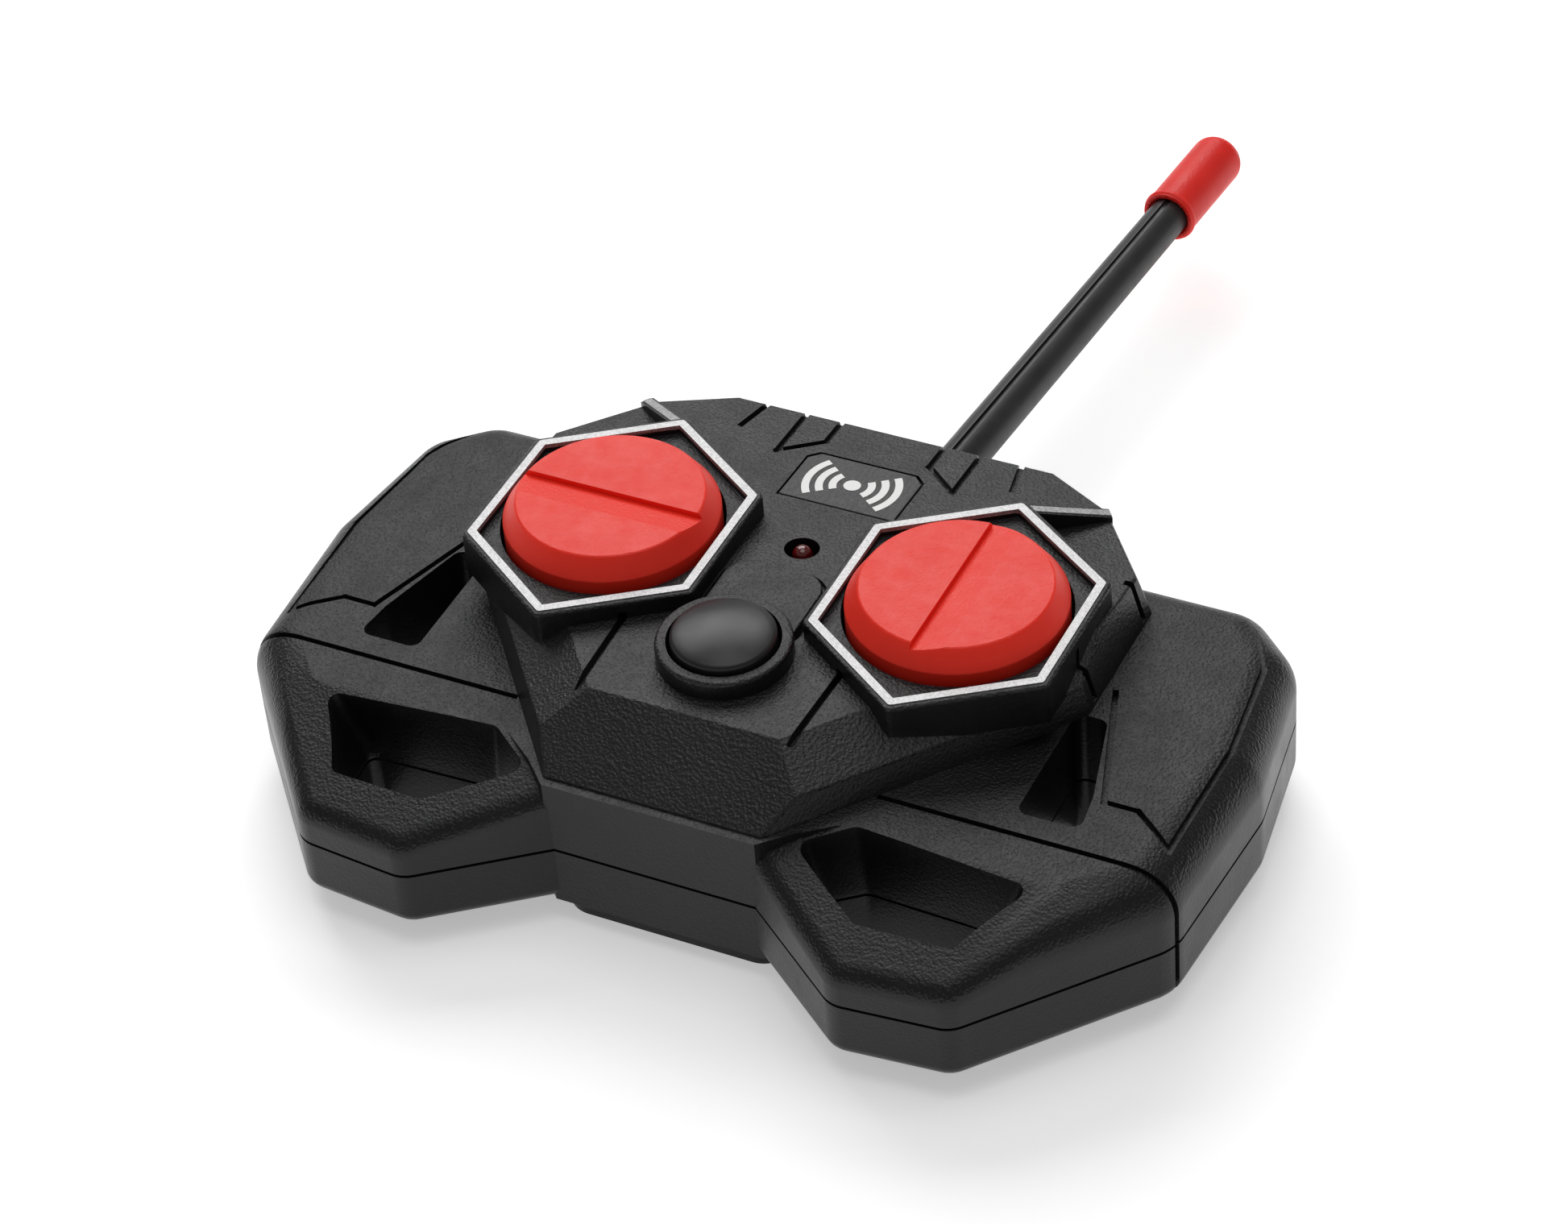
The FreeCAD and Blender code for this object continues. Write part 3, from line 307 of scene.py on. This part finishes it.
def plain_plastic(name, dark, light, rough, size=3 * MM):
    """Satin plastic or rubber with slow changes of shade."""
    finish, tree, shader, place = start_finish(name)
    patch = noise(tree, place, size, 4.0, 0.6)
    set_colour(tree, shader, patch, dark, light)
    set_roughness(tree, shader, patch, rough, rough + 0.12)
    set_relief(tree, shader, noise(tree, place, 0.7 * MM), 0.01 * MM)
    return finish


def polished_black(name):
    """Smooth push button with faint handling marks."""
    finish, tree, shader, place = start_finish(name)
    patch = noise(tree, place, 4 * MM, 5.0, 0.6)
    set_colour(tree, shader, patch, (0.009, 0.009, 0.010), (0.016, 0.016, 0.018))
    set_roughness(tree, shader, patch, 0.3, 0.4)
    set_relief(tree, shader, noise(tree, place, 0.9 * MM, 3.0), 0.008 * MM)
    shader.inputs["Specular IOR Level"].default_value = 0.38
    return finish


def lamp_red(name):
    """Dark red lens that lets some light through under a clear skin."""
    finish, tree, shader, place = start_finish(name)
    patch = noise(tree, place, 1.5 * MM)
    set_colour(tree, shader, patch, (0.10, 0.002, 0.002), (0.22, 0.006, 0.005))
    set_roughness(tree, shader, patch, 0.1, 0.18)
    shader.inputs["Transmission Weight"].default_value = 0.35
    shader.inputs["Coat Weight"].default_value = 0.6
    return finish


def ribbed_label(name):
    """Matt black plate with fine upright ribs."""
    finish, tree, shader, place = start_finish(name)
    ribs = tree.nodes.new("ShaderNodeTexWave")
    ribs.bands_direction = "X"
    ribs.inputs["Scale"].default_value = 1.0 / (3.2 * RIB_PITCH)
    ribs.inputs["Distortion"].default_value = 0.0
    tree.links.new(place.outputs["Object"], ribs.inputs["Vector"])
    fine = noise(tree, place, 0.4 * MM, 3.0)
    height = combined(tree, "ADD", ribs.outputs["Fac"], combined(tree, "MULTIPLY", fine, 0.3))
    set_relief(tree, shader, height, RIB_DEPTH)
    patch = noise(tree, place, 3 * MM, 3.0)
    set_colour(tree, shader, patch, (0.02, 0.02, 0.021), (0.034, 0.034, 0.035))
    set_roughness(tree, shader, fine, 0.45, 0.6)
    return finish


def printed_white(name):
    """White ink, finely speckled."""
    finish, tree, shader, place = start_finish(name)
    speck = noise(tree, place, 0.3 * MM, 3.0, 0.7)
    set_colour(tree, shader, mapped(tree, speck, *MOTTLE), (0.80, 0.80, 0.79), (0.92, 0.92, 0.91))
    set_roughness(tree, shader, speck, 0.4, 0.55)
    return finish


def board_green(name):
    """Solder mask over faint copper tracks."""
    finish, tree, shader, place = start_finish(name)
    tracks = tree.nodes.new("ShaderNodeTexBrick")
    tracks.inputs["Scale"].default_value = 160.0
    tracks.inputs["Mortar Size"].default_value = 0.06
    tracks.inputs["Color1"].default_value = (0.012, 0.09, 0.03, 1.0)
    tracks.inputs["Color2"].default_value = (0.016, 0.11, 0.035, 1.0)
    tracks.inputs["Mortar"].default_value = (0.03, 0.17, 0.06, 1.0)
    tree.links.new(place.outputs["Object"], tracks.inputs["Vector"])
    patch = noise(tree, place, 4 * MM, 4.0)
    thin = mapped(tree, patch, 0.4, 0.8, 0.0, 0.5)
    set_colour(tree, shader, thin, tracks.outputs["Color"], (0.02, 0.14, 0.05))
    set_roughness(tree, shader, patch, 0.25, 0.4)
    set_relief(tree, shader, tracks.outputs["Fac"], 0.03 * MM)
    return finish


def banded(name, base, band, pitch, axis):
    """Body colour crossed by bands along one axis, for cells and resistors."""
    finish, tree, shader, place = start_finish(name)
    parts = tree.nodes.new("ShaderNodeSeparateXYZ")
    tree.links.new(place.outputs["Object"], parts.inputs["Vector"])
    cycle = combined(tree, "PINGPONG", parts.outputs[axis], pitch)
    share = mapped(tree, cycle, pitch * BAND_START, pitch * BAND_FULL)
    patch = noise(tree, place, 2 * MM, 3.0)
    paler = tuple(min(1.0, part * 1.3) for part in base)
    set_colour(tree, shader, share, blended(tree, patch, base, paler), band)
    set_roughness(tree, shader, patch, 0.3, 0.42)
    set_relief(tree, shader, patch, 0.01 * MM)
    return finish


def floor_finish():
    """Pale paper that shows from above only, so the underside can be looked at."""
    finish, tree, shader, place = start_finish("studio_paper")
    set_colour(tree, shader, noise(tree, place, 2 * MM, 3.0), (0.93, 0.93, 0.93), (0.96, 0.96, 0.96))
    shader.inputs["Roughness"].default_value = 0.9
    shader.inputs["Specular IOR Level"].default_value = 0.1
    shader.inputs["Emission Color"].default_value = WHITE
    shader.inputs["Emission Strength"].default_value = PAPER_GLOW
    side = tree.nodes.new("ShaderNodeNewGeometry")
    clear = tree.nodes.new("ShaderNodeBsdfTransparent")
    seen = either_shader(tree, side.outputs["Backfacing"], shader.outputs["BSDF"],
                         clear.outputs["BSDF"])
    tree.links.new(seen, tree.nodes["Material Output"].inputs["Surface"])
    return finish


# ---------------------------------------------------------------- mesh helpers
def refined(node, finish, soften):
    """Merged, smooth-shaded copy of a CAD node that stands in for it."""
    source = frame["nodes"][node]
    work = bmesh.new()
    work.from_mesh(source.data)
    bmesh.ops.remove_doubles(work, verts=work.verts, dist=MERGE_GAP)
    bmesh.ops.dissolve_degenerate(work, dist=0.1 * MERGE_GAP, edges=work.edges)
    if soften > 0:
        bmesh.ops.dissolve_limit(work, angle_limit=FLAT_ANGLE, verts=work.verts, edges=work.edges)
    for face in work.faces:
        face.smooth = True
    mesh = bpy.data.meshes.new(node + "_shell")
    work.to_mesh(mesh)
    work.free()
    mesh.set_sharp_from_angle(angle=SMOOTH_ANGLE)
    mesh.materials.append(finish)
    piece = bpy.data.objects.new(node + "_shell", mesh)
    bpy.context.scene.collection.objects.link(piece)
    if soften > 0:
        round_over(piece, soften)
    weigh = piece.modifiers.new("even_shading", "WEIGHTED_NORMAL")
    weigh.keep_sharp = True
    weigh.weight = SHADING_WEIGHT
    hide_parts(node)
    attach(piece, source["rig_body"])
    return piece


def round_over(piece, width):
    """Small rounding on every sharp edge."""
    bevel = piece.modifiers.new("rounded_edges", "BEVEL")
    bevel.limit_method = "ANGLE"
    bevel.angle_limit = ROUNDED_ANGLE
    bevel.width = width
    bevel.segments = ROUNDING_STEPS


def new_piece(name, work, finish, body):
    """Flat-shaded mesh from a bmesh, riding on a body."""
    bmesh.ops.remove_doubles(work, verts=work.verts, dist=0.1 * MERGE_GAP)
    bmesh.ops.recalc_face_normals(work, faces=work.faces)
    mesh = bpy.data.meshes.new(name)
    work.to_mesh(mesh)
    work.free()
    mesh.materials.append(finish)
    piece = bpy.data.objects.new(name, mesh)
    bpy.context.scene.collection.objects.link(piece)
    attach(piece, body)


def label_plane():
    """Matrix that lays the label's own plane on the sloping deck."""
    low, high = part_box("label_plate")
    rise = math.atan2(high.z - low.z - LABEL_THICK, high.y - low.y)
    drop = (high.y - low.y) / 2 * math.sin(rise)
    centre = Vector(((low.x + high.x) / 2, (low.y + high.y) / 2, high.z - drop))
    return Matrix.Translation(centre) @ Matrix.Rotation(-rise, 4, "X")


def wave(work, radius, middle):
    """Curved bar of the mark: a short edge spun about the mark's centre."""
    inner = work.verts.new((radius - MARK_STROKE / 2, 0, 0))
    outer = work.verts.new((radius + MARK_STROKE / 2, 0, 0))
    edge = work.edges.new((inner, outer))
    turn = Matrix.Rotation(middle - MARK_HALF_TURN, 4, "Z")
    bmesh.ops.transform(work, matrix=turn, verts=[inner, outer])
    bmesh.ops.spin(work, geom=[inner, outer, edge], cent=(0, 0, 0), axis=(0, 0, 1),
                   angle=2 * MARK_HALF_TURN, steps=MARK_STEPS, use_merge=False)


def radio_mark(finish):
    """Generic mark for radio control: a dot with curved waves on both sides."""
    work = bmesh.new()
    bmesh.ops.create_circle(work, cap_ends=True, cap_tris=False, segments=40, radius=MARK_DOT)
    for radius in MARK_WAVES:
        for middle in (0.0, math.pi):
            wave(work, radius, middle)
    for face in work.faces:
        if face.normal.z < 0:
            face.normal_flip()
    bmesh.ops.solidify(work, geom=work.faces[:], thickness=-MARK_THICK)
    bmesh.ops.transform(work, matrix=label_plane(), verts=work.verts)
    bmesh.ops.translate(work, vec=(0, 0, MARK_GAP), verts=work.verts)
    new_piece("radio_mark", work, finish, "case")


# ---------------------------------------------------------------- set
def studio(finish):
    """Wide paper floor just under the object."""
    work = bmesh.new()
    bmesh.ops.create_grid(work, x_segments=8, y_segments=8, size=FLOOR_HALF)
    bmesh.ops.translate(work, vec=(0, 0, -FLOOR_DROP), verts=work.verts)
    mesh = bpy.data.meshes.new("studio_floor")
    work.to_mesh(mesh)
    work.free()
    mesh.materials.append(finish)
    floor = bpy.data.objects.new("studio_floor", mesh)
    bpy.context.scene.collection.objects.link(floor)


def soft_light(name, place, size, power):
    """White panel light that looks at the middle of the object."""
    aim = Vector((0, 0, 20 * MM))
    lamp = bpy.data.lights.new(name, "AREA")
    lamp.shape = "RECTANGLE"
    lamp.size, lamp.size_y = size
    lamp.energy = power
    holder = bpy.data.objects.new(name, lamp)
    turn = (aim - Vector(place)).to_track_quat("-Z", "Y")
    holder.matrix_world = Matrix.Translation(place) @ turn.to_matrix().to_4x4()
    bpy.context.scene.collection.objects.link(holder)


def lights():
    """Two panels and pale air; the backdrop is what the camera sees past the floor."""
    soft_light("rear_softbox", (-0.55, 0.85, 0.95), (1.2, 0.8), 12.0)
    soft_light("top_softbox", (0.1, 0.0, 1.3), (0.9, 0.9), 4.0)
    world = bpy.data.worlds.new("studio_air")
    world.use_nodes = True
    tree = world.node_tree
    air = tree.nodes["Background"]
    backdrop = tree.nodes.new("ShaderNodeBackground")
    for node, strength in ((air, AIR_LIGHT), (backdrop, BACKDROP_LIGHT)):
        node.inputs["Color"].default_value = WHITE
        node.inputs["Strength"].default_value = strength
    seen = tree.nodes.new("ShaderNodeLightPath").outputs["Is Camera Ray"]
    either = either_shader(tree, seen, air.outputs["Background"], backdrop.outputs["Background"])
    tree.links.new(either, tree.nodes["World Output"].inputs["Surface"])
    bpy.context.scene.world = world


def camera():
    """Long lens, in front and to the right, looking down."""
    lens = bpy.data.cameras.new("front_view")
    lens.lens = LENS
    lens.sensor_width = SENSOR
    lens.clip_end = FAR_CLIP
    away = Vector((math.sin(VIEW_TURN) * math.cos(VIEW_TILT),
                   -math.cos(VIEW_TURN) * math.cos(VIEW_TILT),
                   math.sin(VIEW_TILT)))
    level = Vector((math.cos(VIEW_TURN), math.sin(VIEW_TURN), 0))
    above = away.cross(level)
    right = math.cos(VIEW_ROLL) * level + math.sin(VIEW_ROLL) * above
    up = -math.sin(VIEW_ROLL) * level + math.cos(VIEW_ROLL) * above
    stand = bpy.data.objects.new("front_view", lens)
    facing = Matrix((right, up, away)).transposed().to_4x4()
    stand.matrix_world = Matrix.Translation(VIEW_PLACE) @ facing
    bpy.context.scene.collection.objects.link(stand)
    bpy.context.scene.camera = stand


# ---------------------------------------------------------------- assembly
finishes = {
    "case_plastic": moulded_plastic("pebbled_case_black", (0.005, 0.005, 0.0062),
                                    (0.010, 0.010, 0.0115), 0.38, 0.50, CASE_GRAIN_DEPTH, CASE_GLOSS),
    "hood_plastic": moulded_plastic("pebbled_hood_black", (0.005, 0.005, 0.006),
                                    (0.011, 0.011, 0.0122), 0.40, 0.52, HOOD_GRAIN_DEPTH, HOOD_GLOSS),
    "door_plastic": moulded_plastic("door_black", (0.005, 0.005, 0.0062),
                                    (0.010, 0.010, 0.0115), 0.44, 0.56, CASE_GRAIN_DEPTH, CASE_GLOSS),
    "button_black": polished_black("polished_button_black"),
    "rocker_red": red_plastic("rocker_red_plastic", (0.94, 0.030, 0.014), (0.98, 0.037, 0.018)),
    "cap_red": red_plastic("tip_red_rubber", (0.76, 0.018, 0.012), (0.86, 0.026, 0.017)),
    "trim_silver": silver_foil("pressed_silver_foil"),
    "label": ribbed_label("ribbed_label_black"),
    "led_red": lamp_red("lamp_red_lens"),
    "antenna_black": plain_plastic("satin_antenna_black", (0.012, 0.012, 0.013),
                                   (0.02, 0.02, 0.021), 0.36),
    "steel": metal("turned_steel", (0.35, 0.35, 0.36), (0.62, 0.62, 0.63), 0.25),
    "spring_steel": metal("drawn_spring_steel", (0.42, 0.42, 0.43), (0.66, 0.66, 0.67), 0.2, 0.6 * MM),
    "board": board_green("board_green_mask"),
    "chip_black": plain_plastic("chip_epoxy", (0.01, 0.01, 0.01), (0.022, 0.022, 0.022), 0.5, 0.8 * MM),
    "rubber": plain_plastic("pad_rubber", (0.02, 0.02, 0.022), (0.035, 0.035, 0.037), 0.6, 1 * MM),
    "copper": metal("wound_copper", (0.45, 0.16, 0.06), (0.72, 0.32, 0.14), 0.3, 0.4 * MM,
                    (1.0, 1.0, 14.0)),
    "can": metal("brushed_can", (0.5, 0.5, 0.5), (0.75, 0.75, 0.74), 0.22, 1 * MM, (1.0, 1.0, 6.0)),
    "resistor": banded("resistor_bands", (0.45, 0.32, 0.18), (0.16, 0.03, 0.02), 0.7 * MM, "Y"),
    "cell_jacket": banded("cell_jacket_bands", (0.02, 0.03, 0.07), (0.55, 0.36, 0.12), 30 * MM, "Y"),
    "post_plastic": plain_plastic("post_nylon", (0.55, 0.54, 0.5), (0.66, 0.65, 0.6), 0.4, 2 * MM),
    "wire": plain_plastic("wire_sleeve", (0.35, 0.01, 0.01), (0.5, 0.02, 0.02), 0.4, 2 * MM),
}

rounding = {
    "upper_case": 0.35 * MM, "lower_case": 0.35 * MM,
    "hood": 0.2 * MM, "battery_door": 0.2 * MM, "antenna_rod": 0.2 * MM,
    "rocker_left": 0.25 * MM, "rocker_right": 0.25 * MM,
    "bezel_trim_left": 0.12 * MM, "bezel_trim_right": 0.12 * MM, "label_plate": 0.12 * MM,
}

slot_of = {part["node"]: part["material_slot"] for part in frame["record"]["subparts"]}
shells = {node: refined(node, finishes[slot_of[node]], rounding.get(node, 0.0))
          for node in frame["nodes"]}

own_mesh(shells["centre_spring"])

radio_mark(printed_white("printed_white"))

studio(floor_finish())
lights()
camera()
bpy.context.scene.view_settings.view_transform = "Standard"
